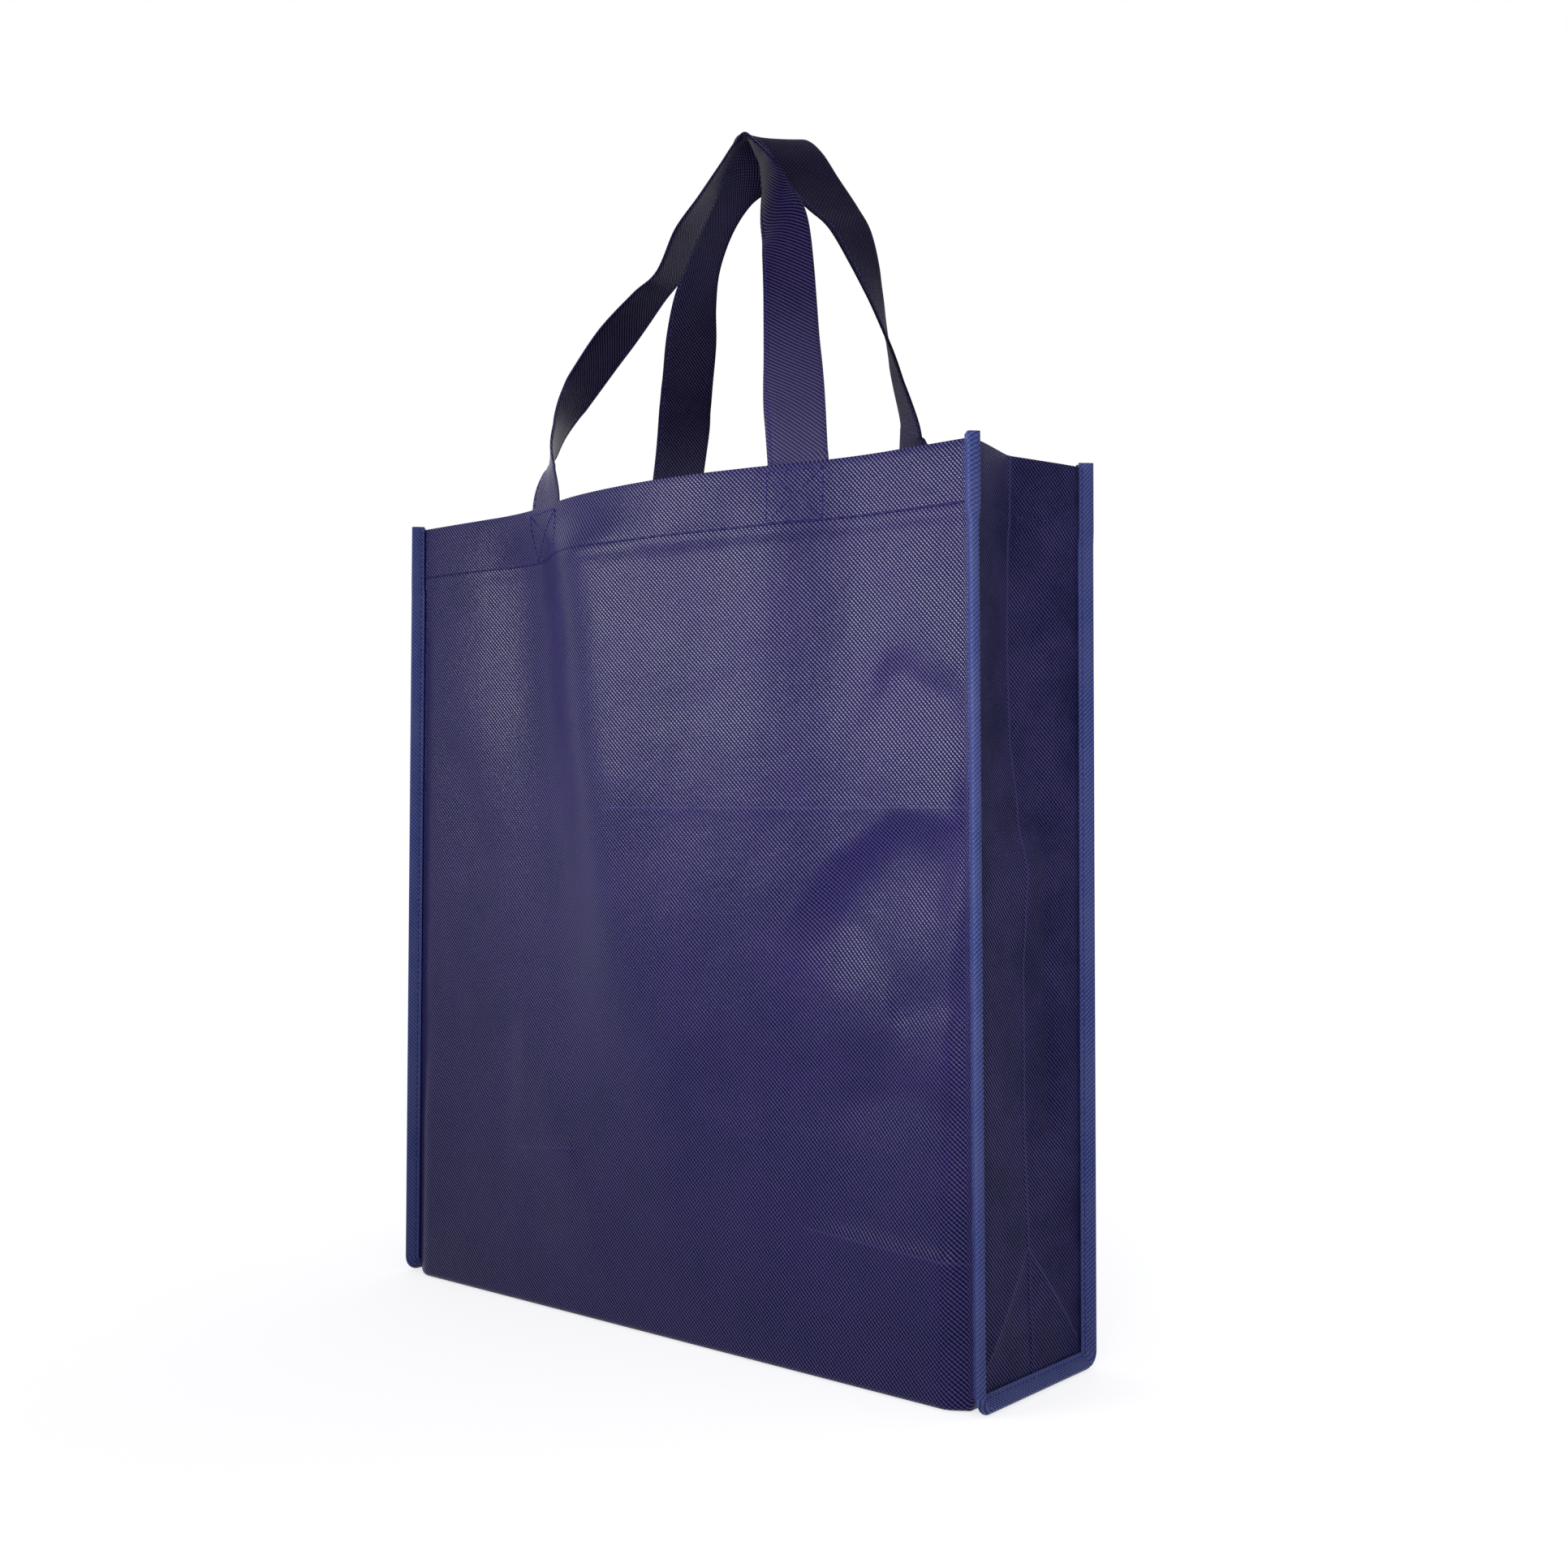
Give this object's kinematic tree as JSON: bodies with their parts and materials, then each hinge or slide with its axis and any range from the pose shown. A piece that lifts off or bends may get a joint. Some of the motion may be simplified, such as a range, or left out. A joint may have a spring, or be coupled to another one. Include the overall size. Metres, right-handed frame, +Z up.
{
  "type": "non-woven plastic carrier bag",
  "caption": "Navy reusable carrier bag of embossed non-woven plastic, with bound side seams and flat handles held up over its open mouth.",
  "frame": {"origin": "under the middle of the base, on the surface that the bag stands on", "axes": "+Z up, +X across the width of the bag to the right seen from the front, -Y to the front panel"},
  "size_m": [0.374, 0.1228, 0.5861],
  "materials": {
    "navy_cloth": "satin",
    "navy_strap": "satin",
    "blue_binding": "satin",
    "blue_thread": "matte"
  },
  "bodies": {
    "root": {"binding_left": "blue_binding", "binding_right": "blue_binding", "binding_seam_left": "blue_thread", "binding_seam_right": "blue_thread", "body_sheet": "navy_cloth", "gusset_left": "navy_cloth", "gusset_right": "navy_cloth", "handle_back": "navy_strap", "handle_front": "navy_strap", "handle_seam_back_left": "blue_thread", "handle_seam_back_right": "blue_thread", "handle_seam_front_left": "blue_thread", "handle_seam_front_right": "blue_thread", "hem_seam_back": "blue_thread", "hem_seam_front": "blue_thread", "hem_seam_left": "blue_thread", "hem_seam_right": "blue_thread"}
  },
  "joints": []
}
